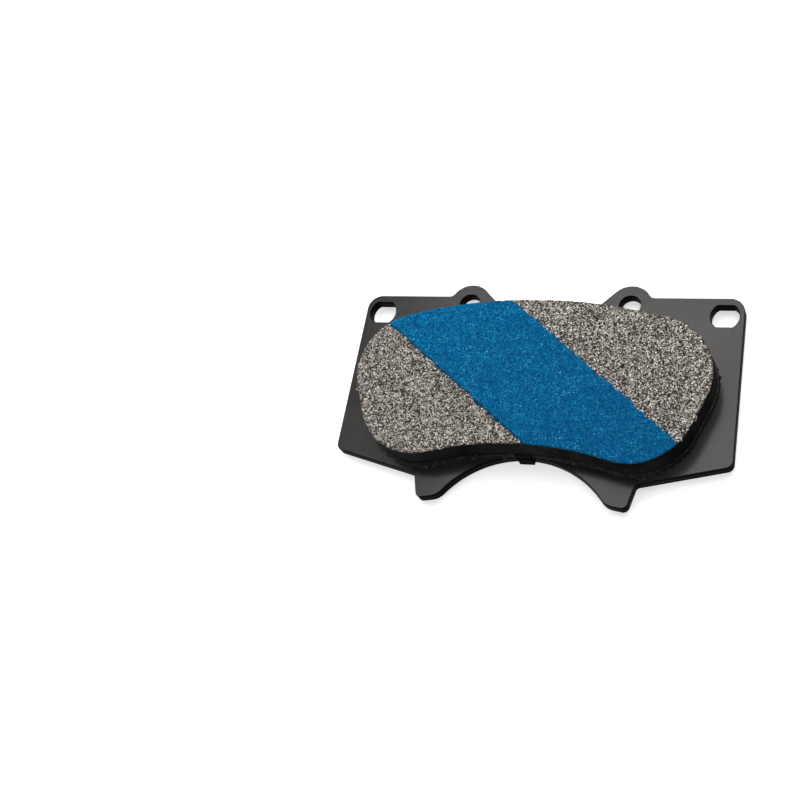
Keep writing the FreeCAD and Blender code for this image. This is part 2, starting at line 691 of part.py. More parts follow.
def hook_outer_y():
    arch = SIZE["arch_height"] - SIZE["overall_height"] / 2
    sag = SIZE["arch_radius"] - math.sqrt(SIZE["arch_radius"] ** 2 - SIZE["hook_width"] ** 2 / 4)
    return arch - sag - SIZE["hook_gap"] - SIZE["shim_thickness"]


def draw_hook(sketch):
    """The hook's strip from the side: across is the pad's Y, up is its Z."""
    thick = SIZE["shim_thickness"]
    inside = SIZE["hook_bend_radius"]
    outside = inside + thick
    outer = hook_outer_y()
    root = outer + SIZE["hook_lip"]
    front = thick + SIZE["glue_thickness"] + SIZE["plate_thickness"] + SIZE["hook_gap"]
    low_bend = point(outer + outside, outside)
    high_bend = point(outer + outside, front - inside)

    outline = Outline(sketch)
    lip_end = outline.line(point(root, front), point(root, front + thick))
    lip_front = outline.line(point(root, front + thick), polar(high_bend, outside, 90), smooth=False)
    high_outside = outline.arc(high_bend, outside, 90, 180)
    web_outside = outline.line(polar(high_bend, outside, 180), polar(low_bend, outside, 180))
    low_outside = outline.arc(low_bend, outside, 180, 270)
    sheet_back = outline.line(polar(low_bend, outside, 270), point(root, 0))
    sheet_end = outline.line(point(root, 0), point(root, thick), smooth=False)
    sheet_front = outline.line(point(root, thick), polar(low_bend, inside, 270), smooth=False)
    low_inside = outline.arc(low_bend, inside, 270, 180)
    web_inside = outline.line(polar(low_bend, inside, 180), polar(high_bend, inside, 180))
    high_inside = outline.arc(high_bend, inside, 180, 90)
    lip_back = outline.line(polar(high_bend, inside, 90), point(root, front))
    outline.close()

    for bend_inside, bend_outside in ((low_inside, low_outside), (high_inside, high_outside)):
        centres = (bend_inside, CENTRE, bend_outside, CENTRE)
        sketch.addConstraint(Sketcher.Constraint("Coincident", *centres))
        set_radius(sketch, bend_inside, "sizes.hook_bend_radius")
    for line in (web_outside, web_inside, sheet_end, lip_end):
        sketch.addConstraint(Sketcher.Constraint("Vertical", line))
    for line in (lip_front, lip_back, sheet_back, sheet_front):
        level(sketch, line)
    front_formula = (
        "sizes.shim_thickness + sizes.glue_thickness + sizes.plate_thickness + sizes.hook_gap"
    )
    set_x(sketch, web_outside, START, HOOK_OUTER_Y)
    set_x(sketch, web_inside, START, HOOK_INNER_Y)
    set_x(sketch, lip_end, START, f"{HOOK_OUTER_Y} + sizes.hook_lip")
    set_x(sketch, sheet_end, START, f"{HOOK_OUTER_Y} + sizes.hook_lip")
    set_y(sketch, sheet_back, END, "0")
    set_y(sketch, lip_end, START, front_formula)


def is_coined_edge(edge):
    """The upright corners at the end of the hook's lip."""
    box = edge.BoundBox
    root = hook_outer_y() + SIZE["hook_lip"]
    return box.ZMin > SIZE["plate_thickness"] and box.ZLength > 0.1 and box.YMin > root - 0.1


def make_shim_steel():
    """Steel core of the noise shim, with a hook bent over the plate's lower edge."""
    body = make_lining_slab(
        "shim_steel", ABOVE_COAT, "sizes.shim_thickness", -SIZE["shim_inset"], "-sizes.shim_inset"
    )
    sketch = new_sketch(body, "hook_profile", "YZ_Plane")
    draw_hook(sketch)
    pad(body, sketch, "hook", "sizes.hook_width", both_ways=True)
    dress_edges(body, "Fillet", "coined_edges", is_coined_edge, "sizes.hook_corner_radius")
    return body


def make_shim_glue():
    inset = -SIZE["shim_inset"]
    return make_lining_slab(
        "shim_glue", ABOVE_SHIM, "sizes.glue_thickness", inset, "-sizes.shim_inset"
    )


def make_shim_coat():
    inset = -SIZE["shim_inset"]
    return make_lining_slab("shim_coat", "", "sizes.coat_thickness", inset, "-sizes.shim_inset")


# ---------------------------------------------------------------- build and export

PIECES = (
    make_shim_coat(),
    make_shim_steel(),
    make_shim_glue(),
    make_backing_plate(),
    make_bonding_film(),
    make_underlayer(),
    make_friction_block(),
    make_stripe_coating(),
)

doc.recompute()
for item in doc.Objects:
    if "Invalid" in item.State or "Error" in item.State:
        raise RuntimeError(f"{item.Name} failed: {item.State}")
for piece in PIECES:
    if piece.Shape.isNull() or not piece.Shape.isValid() or len(piece.Shape.Solids) != 1:
        raise RuntimeError(f"{piece.Label} is not one valid solid")

os.makedirs("parts", exist_ok=True)
for piece in PIECES:
    piece.Shape.exportStep(f"parts/{piece.Label}.step")
    box = piece.Shape.BoundBox
    print(
        f"{piece.Label:16s} {piece.Shape.Volume:9.1f} mm3"
        f"  x {box.XMin:7.2f} {box.XMax:7.2f}  y {box.YMin:7.2f} {box.YMax:7.2f}"
        f"  z {box.ZMin:6.2f} {box.ZMax:6.2f}"
    )
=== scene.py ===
# %% [markdown]
# # A disc brake pad
# The pad lies on its back on a pale table, with the friction face up. It is a sandwich: a thin
# noise shim, a blanked steel plate, and a moulded block of friction material that was ground
# flat and then got a diagonal stripe of blue bedding-in coating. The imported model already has
# every layer at its real size, so it is loaded first and stays as it is. What is added here is
# the finish: the broken grain of the ground face, the film that follows it, the ragged flash
# at the foot of the block, the steel fibres and the paint. Lengths are in metres.

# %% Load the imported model
import math

import bmesh
import bpy
from mathutils import Matrix, Vector, noise
from mathutils.bvhtree import BVHTree
from random import Random


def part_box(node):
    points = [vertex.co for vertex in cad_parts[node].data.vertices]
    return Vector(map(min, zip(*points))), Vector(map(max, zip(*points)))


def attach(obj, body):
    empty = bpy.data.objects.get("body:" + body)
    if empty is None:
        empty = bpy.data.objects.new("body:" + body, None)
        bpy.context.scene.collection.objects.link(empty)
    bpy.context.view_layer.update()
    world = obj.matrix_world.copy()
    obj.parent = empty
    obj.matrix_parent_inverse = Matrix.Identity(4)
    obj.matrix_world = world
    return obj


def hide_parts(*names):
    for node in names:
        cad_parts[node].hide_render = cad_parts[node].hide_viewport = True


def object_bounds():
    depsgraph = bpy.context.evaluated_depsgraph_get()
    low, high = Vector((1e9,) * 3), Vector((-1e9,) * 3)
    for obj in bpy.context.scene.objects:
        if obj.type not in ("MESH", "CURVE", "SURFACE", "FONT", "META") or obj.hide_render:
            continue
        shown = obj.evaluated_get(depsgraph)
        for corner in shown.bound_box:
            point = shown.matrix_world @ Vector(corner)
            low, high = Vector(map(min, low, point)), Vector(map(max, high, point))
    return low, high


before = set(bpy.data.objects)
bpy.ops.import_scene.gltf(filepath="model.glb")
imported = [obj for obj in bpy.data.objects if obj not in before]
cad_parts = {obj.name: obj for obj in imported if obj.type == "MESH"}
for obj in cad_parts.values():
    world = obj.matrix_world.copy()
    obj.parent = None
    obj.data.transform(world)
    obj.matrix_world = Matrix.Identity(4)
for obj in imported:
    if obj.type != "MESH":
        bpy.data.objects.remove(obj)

MM = 0.001
cad_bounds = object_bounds()
print("nodes:", ", ".join(sorted(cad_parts)))

# %% [markdown]
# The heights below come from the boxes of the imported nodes, so they follow the model. The
# friction block's top is the ground face, and its foot stands on the underlayer.

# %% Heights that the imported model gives
block_low, block_high = (Vector(corner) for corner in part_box("friction_block"))
plate_low, plate_high = (Vector(corner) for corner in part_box("backing_plate"))
_, layer_high = (Vector(corner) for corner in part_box("underlayer"))
FACE_Z = block_high.z
FOOT_Z = block_low.z
PLATE_Z = plate_high.z
print(f"ground face at {FACE_Z / MM:.2f} mm, plate face at {PLATE_Z / MM:.2f} mm")

# %% [markdown]
# The camera is a short telephoto that looks down on the pad from its lower right, rolled so
# that the ears point up in the render. It is placed by the spot level with the plate's face
# that the lens points at, the two angles that it looks along, the distance and the roll. The
# focal length and the sensor's width are in millimetres, because Blender's camera takes them so.

# %% Camera
LENS_AIM = Vector((-46.4 * MM, -4.84 * MM, PLATE_Z))
AZIMUTH = math.radians(45.28)
ELEVATION = math.radians(59.07)
ROLL = math.radians(-38.90)
DISTANCE = 510.2 * MM
FOCAL_LENGTH = 68.32
SENSOR_WIDTH = 36.0
NEAREST_SEEN = 0.01


def make_camera():
    data = bpy.data.cameras.new("camera")
    data.lens = FOCAL_LENGTH
    data.sensor_width = SENSOR_WIDTH
    data.clip_start = NEAREST_SEEN
    camera = bpy.data.objects.new("camera", data)
    bpy.context.collection.objects.link(camera)
    turn = Matrix.Rotation(AZIMUTH, 4, "Z") @ Matrix.Rotation(math.pi / 2 - ELEVATION, 4, "X")
    camera.matrix_world = (
        Matrix.Translation(LENS_AIM)
        @ turn
        @ Matrix.Rotation(ROLL, 4, "Z")
        @ Matrix.Translation((0, 0, DISTANCE))
    )
    bpy.context.scene.camera = camera
    return camera


camera = make_camera()
print("camera at", [round(value, 4) for value in camera.matrix_world.translation])

# %% [markdown]
# The table is a white sheet a hair below the pad, so that the two never share a plane. It glows
# a little, which keeps the shadow under the pad pale. It is kept out of reflections and bounce,
# as a studio does with black flags, so that the steep walls of the plate stay dark against it.

# %% Table
TABLE_DROP = 0.02 * MM
TABLE_REACH = 3.0
TABLE_WHITE = 0.92
TABLE_GLOW = 0.62


def make_table():
    shape = bmesh.new()
    bmesh.ops.create_grid(shape, x_segments=1, y_segments=1, size=TABLE_REACH)
    bmesh.ops.translate(shape, verts=shape.verts, vec=(0, 0, cad_bounds[0][2] - TABLE_DROP))
    mesh = bpy.data.meshes.new("table")
    shape.to_mesh(mesh)
    shape.free()
    table = bpy.data.objects.new("table", mesh)
    bpy.context.collection.objects.link(table)
    table.visible_diffuse = False
    table.visible_glossy = False
    white = bpy.data.materials.new("table white")
    white.use_nodes = True
    shader = white.node_tree.nodes["Principled BSDF"]
    shader.inputs["Base Color"].default_value = (TABLE_WHITE, TABLE_WHITE, TABLE_WHITE, 1)
    shader.inputs["Roughness"].default_value = 0.9
    shader.inputs["Specular IOR Level"].default_value = 0.0
    shader.inputs["Emission Color"].default_value = (1, 1, 1, 1)
    shader.inputs["Emission Strength"].default_value = TABLE_GLOW
    table.data.materials.append(white)
    return table


table = make_table()
print("table top at", round(table.data.vertices[0].co.z / MM, 3), "mm")

# %% [markdown]
# One large, slightly warm softbox hangs above and behind the pad, so that satin paint shows a
# soft sheen. A small one shines in from the -X side. A low fill, in front and also on the -X
# side, opens the moulded walls there. A weak white world lifts what they leave dark. Each
# softbox is given by its direction from the pad, its distance, its two sides, its power in
# watts and its tint.

# %% Softboxes and surroundings
NEUTRAL = (1, 1, 1)
WARM = (1.0, 0.985, 0.95)
SOFTBOXES = (
    ("top softbox", (0.05, 0.46, 0.88), 0.9, (0.85, 0.75), 7.0, WARM),
    ("side softbox", (-0.90, 0.45, 0.60), 0.9, (0.4, 0.4), 1.8, NEUTRAL),
    ("front fill", (-0.8, -0.9, 0.5), 1.4, (0.5, 0.5), 4.0, NEUTRAL),
)
WORLD_LIGHT = 0.12


def make_softbox(name, direction, distance, sides, power, tint):
    """A rectangular light that looks at the pad from a direction."""
    data = bpy.data.lights.new(name, "AREA")
    data.shape = "RECTANGLE"
    data.size, data.size_y = sides
    data.energy = power
    data.color = tint
    light = bpy.data.objects.new(name, data)
    bpy.context.collection.objects.link(light)
    way = Vector(direction).normalized()
    light.location = way * distance
    light.rotation_euler = way.to_track_quat("Z", "Y").to_euler()


for softbox in SOFTBOXES:
    make_softbox(*softbox)
world = bpy.data.worlds.new("studio")
bpy.context.scene.world = world
world.use_nodes = True
world.node_tree.nodes["Background"].inputs["Color"].default_value = (1, 1, 1, 1)
world.node_tree.nodes["Background"].inputs["Strength"].default_value = WORLD_LIGHT
bpy.context.scene.view_settings.view_transform = "Standard"
print("lights:", len(bpy.data.lights))

# %% [markdown]
# A finish is a small network of nodes. These helpers add one node each and hand back the
# socket that carries its result, so that a recipe below reads from top to bottom. All
# patterns sit on Object coordinates, in metres, so a scale is one over a length.

# %% Nodes and sockets
def start_material(name, roughness, gloss=0.5):
    material = bpy.data.materials.new(name)
    material.use_nodes = True
    shader = material.node_tree.nodes["Principled BSDF"]
    shader.inputs["Roughness"].default_value = roughness
    shader.inputs["Specular IOR Level"].default_value = gloss
    return material, material.node_tree, shader


def is_socket(value):
    return isinstance(value, bpy.types.NodeSocket)


def add_node(tree, kind, inputs=None, **settings):
    """A node whose inputs are linked to sockets or set to plain values."""
    node = tree.nodes.new(kind)
    for name, value in settings.items():
        setattr(node, name, value)
    for name, value in (inputs or {}).items():
        if is_socket(value):
            tree.links.new(value, node.inputs[name])
        else:
            node.inputs[name].default_value = value
    return node


def feed(tree, shader, results):
    """Links finished results into the sockets of the shader."""
    for name, result in results.items():
        tree.links.new(result, shader.inputs[name])


print("node helpers ready")

# %% [markdown]
# Patterns read a place and give a number. Clouds are soft noise, chips give every cell of a
# cracked pattern its own random numbers, and height and distance say where on the pad it is.

# %% Patterns
def position(tree):
    return add_node(tree, "ShaderNodeTexCoord").outputs["Object"]


def clouds(tree, place, length, detail=2.0, roughness=0.5, distortion=0.0):
    """Soft noise between 0 and 1, with blobs about one length wide."""
    inputs = {
        "Vector": place,
        "Scale": 1.0 / length,
        "Detail": detail,
        "Roughness": roughness,
        "Distortion": distortion,
    }
    return add_node(tree, "ShaderNodeTexNoise", inputs).outputs["Fac"]


def chips(tree, place, length):
    """Two random numbers for each chip of a cracked pattern."""
    inputs = {"Vector": place, "Scale": 1.0 / length}
    pattern = add_node(tree, "ShaderNodeTexVoronoi", inputs)
    numbers = add_node(tree, "ShaderNodeSeparateColor", {"Color": pattern.outputs["Color"]})
    return numbers.outputs["Red"], numbers.outputs["Green"]


def height_of(tree, vector):
    return add_node(tree, "ShaderNodeSeparateXYZ", {"Vector": vector}).outputs["Z"]


def distance_along(tree, place, way):
    """How far a place lies along a direction."""
    inputs = {0: place, 1: way}
    return add_node(tree, "ShaderNodeVectorMath", inputs, operation="DOT_PRODUCT").outputs["Value"]


print("pattern helpers ready")

# %% [markdown]
# The next helpers do sums with those numbers, turn them into colours and lay one colour over
# another. Blender's Mix node keeps its colour sockets under numbers of their own.

# %% Sums, colours and relief
MIX_FACTOR, MIX_FIRST, MIX_SECOND, MIX_RESULT = 0, 6, 7, 2


def combine(tree, operation, first, second):
    return add_node(tree, "ShaderNodeMath", {0: first, 1: second}, operation=operation).outputs[0]


def plus(tree, first, second):
    return combine(tree, "ADD", first, second)


def minus(tree, first, second):
    return combine(tree, "SUBTRACT", first, second)


def times(tree, first, second):
    return combine(tree, "MULTIPLY", first, second)


def unsigned(tree, value):
    return combine(tree, "ABSOLUTE", value, 0.0)


def band(tree, value, low, high):
    """0 at low, 1 at high, and a straight climb between, also where low is the larger."""
    inputs = {"Value": value, "From Min": low, "From Max": high}
    return add_node(tree, "ShaderNodeMapRange", inputs).outputs["Result"]


def grey(level):
    return (level, level, level)


def opaque(colour):
    """A plain colour gets its alpha, and a socket stays as it is."""
    return colour if is_socket(colour) else (*colour, 1)


def ramp(tree, value, stops):
    """A colour for each value, from (value, colour) stops."""
    node = add_node(tree, "ShaderNodeValToRGB", {"Fac": value})
    elements = node.color_ramp.elements
    while len(elements) < len(stops):
        elements.new(0.5)
    for element, (place, colour) in zip(elements, stops):
        element.position = place
        element.color = opaque(colour)
    return node.outputs["Color"]


def blend(tree, factor, first, second):
    """First colour where the factor is 0, second where it is 1."""
    inputs = {MIX_FACTOR: factor, MIX_FIRST: opaque(first), MIX_SECOND: opaque(second)}
    return add_node(tree, "ShaderNodeMix", inputs, data_type="RGBA").outputs[MIX_RESULT]


def bump(tree, height, depth, under=None):
    """A relief of the given depth, on top of another one if that is handed in."""
    inputs = {"Height": height, "Distance": depth}
    if under is not None:
        inputs["Normal"] = under
    return add_node(tree, "ShaderNodeBump", inputs).outputs["Normal"]


print("colour helpers ready")

# %% [markdown]
# The friction block is pressed from metal fibres, mineral grains, graphite and resin, then
# ground flat. Grinding tears grains out, so the face is a field of pits and standing chips, and
# its rim is broken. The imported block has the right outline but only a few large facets. A
# voxel remesh covers a copy of it with an even net, fine enough to carry that relief, and the
# points are then pushed in and out by noise. Its foot is cut flat again, because the foot is
# glued on the underlayer and never seen.

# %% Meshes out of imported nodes
JOIN_DISTANCE = 0.001 * MM


def copy_node(node):
    """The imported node's surface with its loose triangles joined up."""
    shape = bmesh.new()
    shape.from_mesh(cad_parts[node].data)
    bmesh.ops.remove_doubles(shape, verts=shape.verts, dist=JOIN_DISTANCE)
    return shape


def remeshed(shape, voxel):
    """The same closed surface, covered by squares of one voxel."""
    mesh = bpy.data.meshes.new("coarse")
    shape.to_mesh(mesh)
    coarse = bpy.data.objects.new("coarse", mesh)
    bpy.context.collection.objects.link(coarse)
    modifier = coarse.modifiers.new("voxels", "REMESH")
    modifier.mode = "VOXEL"
    modifier.voxel_size = voxel
    evaluated = coarse.evaluated_get(bpy.context.evaluated_depsgraph_get())
    dense = bmesh.new()
    dense.from_mesh(evaluated.to_mesh())
    bpy.data.objects.remove(coarse)
    bpy.data.meshes.remove(mesh)
    return dense


def everything(shape):
    return shape.verts[:] + shape.edges[:] + shape.faces[:]


def rim_edges(shape):
    return [edge for edge in shape.edges if edge.is_boundary]


packed = copy_node("friction_block")
print("packed faces of the block:", len(packed.faces))
packed.free()

# %% Net on the block
NET = 0.3 * MM


def of_kind(geometry, kind):
    return [item for item in geometry if isinstance(item, kind)]


def dense_block():
    """The block covered by the net, with its foot cut off and closed again flat."""
    shape = copy_node("friction_block")
    dense = remeshed(shape, NET)
    shape.free()
    cut = FOOT_Z + 2 * NET
    bmesh.ops.bisect_plane(
        dense, geom=everything(dense), plane_co=(0, 0, cut), plane_no=(0, 0, -1), clear_outer=True
    )
    skirt = bmesh.ops.extrude_edge_only(dense, edges=rim_edges(dense))["geom"]
    low = of_kind(skirt, bmesh.types.BMVert)
    bmesh.ops.translate(dense, verts=low, vec=(0, 0, FOOT_Z - cut))
    bmesh.ops.holes_fill(dense, edges=rim_edges(dense), sides=0)
    bmesh.ops.recalc_face_normals(dense, faces=dense.faces)
    return dense


block_shape = dense_block()
print("net on the block:", len(block_shape.verts), "points")

# %% [markdown]
# The relief has several parts. Broad, shallow waves come from grinding. Grains about a
# millimetre wide, with finer grit between them, stand or sink a little, and where the noise is
# lowest a grain has come out and leaves a pit. Close to the rim the face is chipped, deepest
# right at the edge. The moulded side wall is smoother and only gets a faint unevenness.

# %% Relief of the ground face and the wall
WAVE_LENGTH, WAVE_DEPTH = 7.0 * MM, 0.03 * MM
GRAIN_LENGTH, GRAIN_DEPTH = 1.0 * MM, 0.10 * MM
GRIT_LENGTH, GRIT_DEPTH = 0.55 * MM, 0.08 * MM
PIT_LENGTH, PIT_DEPTH, PIT_ONSET = 0.75 * MM, 0.5 * MM, 0.28
FACE_SINK = 0.04 * MM
STREAK_LENGTH, STREAK_DEPTH, STREAK_SQUASH = 1.2 * MM, 0.07 * MM, 0.3
SWELL_LENGTH, SWELL_DEPTH = 5 * MM, 0.05 * MM


def field(place, length, shift=(0, 0, 0)):
    """Soft noise from -1 to 1. A shift reads it in another part of space."""
    return noise.noise(place / length + Vector(shift))


def face_relief(place):
    """Height of the ground face against the flat one."""
    wave = field(place, WAVE_LENGTH) * WAVE_DEPTH
    grain = field(place, GRAIN_LENGTH, (7, 1, 3)) * GRAIN_DEPTH
    grit = field(place, GRIT_LENGTH) * GRIT_DEPTH
    pit = min(0.0, field(place, PIT_LENGTH, (3, 9, 5)) + PIT_ONSET) * PIT_DEPTH
    return wave + grain + grit + pit - FACE_SINK


def wall_relief(place):
    """Height of the moulded wall, with its unevenness drawn out upright."""
    upright = Vector((place.x, place.y, place.z * STREAK_SQUASH))
    return field(upright, STREAK_LENGTH) * STREAK_DEPTH + field(place, SWELL_LENGTH) * SWELL_DEPTH


middle = Vector((0, 0, FACE_Z))
print(f"relief in the middle of the face: {face_relief(middle) / MM:.3f} mm")

# %% Broken rim
CHIP_REACH = 0.9 * MM
BITE_LENGTH, BITE_DEPTH, BITE_ONSET = 1.6 * MM, 0.75 * MM, 0.05
CRUMB_LENGTH, CRUMB_DEPTH = 0.6 * MM, 0.2 * MM


def chip_depth(place, rim_distance):
    """How much of the rim is broken away here."""
    closeness = max(0.0, 1 - rim_distance / CHIP_REACH)
    bite = max(0.0, field(place, BITE_LENGTH, (2, 4, 8)) - BITE_ONSET) * BITE_DEPTH
    crumbs = max(0.0, field(place, CRUMB_LENGTH)) * CRUMB_DEPTH
    return closeness ** 2 * (bite + crumbs)


FLAT_FACE = 0.5


def wall_tree(node):
    """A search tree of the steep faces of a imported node."""
    walls = copy_node(node)
    flat = [face for face in walls.faces if abs(face.normal.z) > FLAT_FACE]
    bmesh.ops.delete(walls, geom=flat, context="FACES")
    tree = BVHTree.FromBMesh(walls)
    walls.free()
    return tree


block_walls = wall_tree("friction_block")
print(f"rim broken up to {CHIP_REACH / MM:.1f} mm in")

# %% Push the net in and out
STILL_FOOT = 3 * NET
RIM_ZONE = 1.2 * MM
RIM_PROBE = 1.5 * MM


def carve(shape):
    """Moves each point along its normal, by the face's relief, the wall's or a mix."""
    shape.normal_update()
    for point in shape.verts:
        if point.co.z < FOOT_Z + STILL_FOOT:
            continue
        way = point.normal.copy()
        upward = max(0.0, way.z)
        push = face_relief(point.co) * upward + wall_relief(point.co) * (1 - upward)
        if FACE_Z - point.co.z < RIM_ZONE:
            probe = Vector((point.co.x, point.co.y, FACE_Z - RIM_PROBE))
            nearest = block_walls.find_nearest(probe)[0]
            rim_distance = (nearest - point.co).to_2d().length + (FACE_Z - point.co.z)
            push -= chip_depth(point.co, rim_distance)
        point.co += way * push


carve(block_shape)
upward = [point for point in block_shape.verts if point.normal.z > 0.9]
heights = [point.co.z for point in upward if point.co.z > FOOT_Z]
print(f"ground face from {min(heights) / MM:.2f} to {max(heights) / MM:.2f} mm")

# %% [markdown]
# Finish of the friction block. A cracked pattern gives each grain its own grey, from dark
# graphite to bright metal, and some grains lean to brown. Thin contour lines of a warped cloud
# pattern become short metal fibres. Small pits are painted dark, as painted shade in them. The
# moulded walls keep the dark paint that was sprayed on before grinding, in soft clouds with a
# few specks of dust, so the paint stops at a ragged line just under the ground face.

# %% Colours of the ground face
GRIT_STOPS = (
    (0.27, grey(0.002)),
    (0.44, (0.030, 0.025, 0.019)),
    (0.59, (0.128, 0.109, 0.088)),
    (0.76, (0.80, 0.77, 0.72)),
)
GRAIN_SIZE, FINE_SIZE, WIRE_SIZE, PIT_SIZE = 0.36 * MM, 0.26 * MM, 1.3 * MM, 0.8 * MM
WIRE_WIDTH = 0.035
# The last colour is painted shade for the small pits.
GRAIN_BROWN, WIRE_STEEL, PIT_SHADE_GREY = (0.16, 0.105, 0.085), (0.66, 0.64, 0.60), grey(0.02)


def fibres(tree, place, length, width):
    """1 on thin broken curved lines, 0 elsewhere."""
    cloud = clouds(tree, place, length, detail=1.0, distortion=1.2)
    ridge = unsigned(tree, minus(tree, cloud, 0.5))
    line = minus(tree, 1.0, band(tree, ridge, 0.0, width))
    gaps = band(tree, clouds(tree, place, 0.7 * length), 0.48, 0.56)
    return times(tree, line, gaps)


def ground_mix(tree, place):
    """The colour of the cut grains, with the level, wires and pits that make it up. The pits get
    painted shade.
    """
    grain, tint = chips(tree, place, GRAIN_SIZE)
    fine = clouds(tree, place, FINE_SIZE, detail=3.0, roughness=0.7)
    level = plus(tree, times(tree, grain, 0.55), times(tree, fine, 0.45))
    colour = ramp(tree, level, GRIT_STOPS)
    colour = blend(tree, times(tree, tint, 0.25), colour, GRAIN_BROWN)
    wires = fibres(tree, place, WIRE_SIZE, WIRE_WIDTH)
    colour = blend(tree, wires, colour, WIRE_STEEL)
    # Painted shade: small pits are darkened as hollows where shade falls.
    pits = band(tree, clouds(tree, place, PIT_SIZE, detail=2.0), 0.40, 0.33)
    colour = blend(tree, times(tree, pits, 0.8), colour, PIT_SHADE_GREY)
    return colour, level, wires, pits


print("greys of the grains:", len(GRIT_STOPS))

# %% Friction material
WALL_STOPS = ((0.35, grey(0.008)), (0.65, grey(0.040)))
DUST_GREY = grey(0.07)
PAINT_ENDS = FACE_Z - 0.30 * MM
BARE_STARTS = FACE_Z - 0.20 * MM


def wall_paint(tree, place):
    """Dark paint in soft clouds, with a few specks of dust."""
    paint = ramp(tree, clouds(tree, place, 9 * MM, detail=3.0), WALL_STOPS)
    dust = band(tree, clouds(tree, place, 0.45 * MM, detail=1.0), 0.68, 0.74)
    return blend(tree, dust, paint, DUST_GREY)


def friction_finish():
    material, tree, shader = start_material("friction_mix", 0.72)
    place = position(tree)
    mix, level, wires, pits = ground_mix(tree, place)
    height = height_of(tree, place)
    ragged = times(tree, clouds(tree, place, 0.9 * MM, detail=3.0), 0.5 * MM)
    bare = band(tree, plus(tree, height, ragged), PAINT_ENDS, BARE_STARTS)
    colour = blend(tree, bare, wall_paint(tree, place), mix)
    gloss = plus(tree, 0.10, times(tree, bare, 0.05))
    metal = times(tree, band(tree, level, 0.62, 0.75), 0.6)
    metallic = times(tree, metal, bare)
    rough = band(tree, level, 1.5, -0.2)
    relief = bump(tree, level, 0.10 * MM)
    relief = bump(tree, minus(tree, wires, pits), 0.05 * MM, relief)
    feed(tree, shader, {
        "Base Color": colour,
        "Specular IOR Level": gloss,
        "Metallic": metallic,
        "Roughness": rough,
        "Normal": relief,
    })
    return material


def finish_piece(shape, name, material, smooth):
    """Turns a bmesh into an object that moves with the pad."""
    mesh = bpy.data.meshes.new(name)
    for face in shape.faces:
        face.smooth = smooth
    shape.to_mesh(mesh)
    shape.free()
    piece = bpy.data.objects.new(name, mesh)
    bpy.context.collection.objects.link(piece)
    mesh.materials.append(material)
    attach(piece, "root")
    triangles = sum(len(polygon.vertices) - 2 for polygon in mesh.polygons)
    print(f"{name}: {triangles} triangles")
    return piece


block_tree = BVHTree.FromBMesh(block_shape)
block_finish = friction_finish()
block = finish_piece(block_shape.copy(), "ground_block", block_finish, smooth=True)
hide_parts("friction_block")

# %% [markdown]
# The bedding-in stripe is a thin coat sprayed over the ground face, so it follows every grain
# and pit. It is made from the block's own relief: the faces of the net that the spray reached
# are kept, and that strip is thickened. Its two edges are nearly parallel, and they wander a
# little, as sprayed edges do along a mask.

# %% Where the spray reached
STRIPE_FALL = math.radians(38.8)
STRIPE_MIDDLE = Vector((0, -0.55, 0)) * MM
STRIPE_HALF = 32.7 / 2 * MM
STRIPE_SPREAD = 0.015
SPRAYED_TILT = 0.15
SPRAYED_DEPTH = 0.6 * MM
FINE_WANDER, FINE_REACH = 0.8 * MM, 0.7 * MM
SLOW_WANDER, SLOW_REACH = 4 * MM, 0.4 * MM
along_stripe = Vector((math.cos(STRIPE_FALL), -math.sin(STRIPE_FALL), 0))
across_stripe = Vector((math.sin(STRIPE_FALL), math.cos(STRIPE_FALL), 0))
across_lower_edge = across_stripe - STRIPE_SPREAD * along_stripe


def past_stripe(place):
    """How far a place lies outside the stripe's two edges. It is negative inside."""
    way = place - STRIPE_MIDDLE
    return max(way.dot(across_stripe), -way.dot(across_lower_edge)) - STRIPE_HALF


def is_coated(face):
    """True for a face of the net that the spray reached."""
    place = face.calc_center_median()
    wander = field(place, FINE_WANDER) * FINE_REACH + field(place, SLOW_WANDER) * SLOW_REACH
    inside = past_stripe(place) < wander
    return inside and face.normal.z > SPRAYED_TILT and place.z > FACE_Z - SPRAYED_DEPTH


print(f"stripe {2 * STRIPE_HALF / MM:.1f} mm wide, at {math.degrees(STRIPE_FALL):.1f} degrees")

# %% Film of the stripe
STRIPE_THICK = 0.09 * MM
STRIPE_LIFT = 0.02 * MM
FACE_SMOOTHING, RIM_SMOOTHING = 0.35, 0.5


def rim_points(shape):
    return [point for point in shape.verts if point.is_boundary]


def stripe_film():
    """The coated part of the net, smoothed a little and given its thickness."""
    film = block_shape.copy()
    film.normal_update()
    bare = [face for face in film.faces if not is_coated(face)]
    bmesh.ops.delete(film, geom=bare, context="FACES")
    bmesh.ops.smooth_vert(film, verts=film.verts, factor=FACE_SMOOTHING, use_axis_z=True)
    rim = rim_points(film)
    bmesh.ops.smooth_vert(
        film, verts=rim, factor=RIM_SMOOTHING, use_axis_x=True, use_axis_y=True
    )
    bmesh.ops.translate(film, verts=film.verts, vec=(0, 0, STRIPE_LIFT))
    bmesh.ops.solidify(film, geom=everything(film), thickness=-STRIPE_THICK)
    return film


film = stripe_film()
print("film:", len(film.faces), "faces")

# %% [markdown]
# The blue coat is thin and matt. It is paler where its grains are light, and painted glints
# stand on it as pale specks and wire-like streaks in loose patches. In the pits and down the rim
# it breaks into pale flecks, partly worn coat and partly a painted highlight on the rounded rim.
# A painted shadow darkens it along its lower edge, and painted shade darkens the whole coat
# towards one end.

# %% Blue coating
BLUE_STOPS = ((0.28, (0.0, 0.056, 0.175)), (0.5, (0.0, 0.101, 0.28)), (0.72, (0.0, 0.18, 0.43)))
# Painted glints in two sizes, then flecks that are partly worn coat and partly painted highlight.
GLINT_BLUE, FINE_GLINT_BLUE, WORN_AND_HIGHLIT_BLUE = (0.05, 0.58, 0.88), (0.20, 0.65, 0.85), (0.22, 0.55, 0.75)
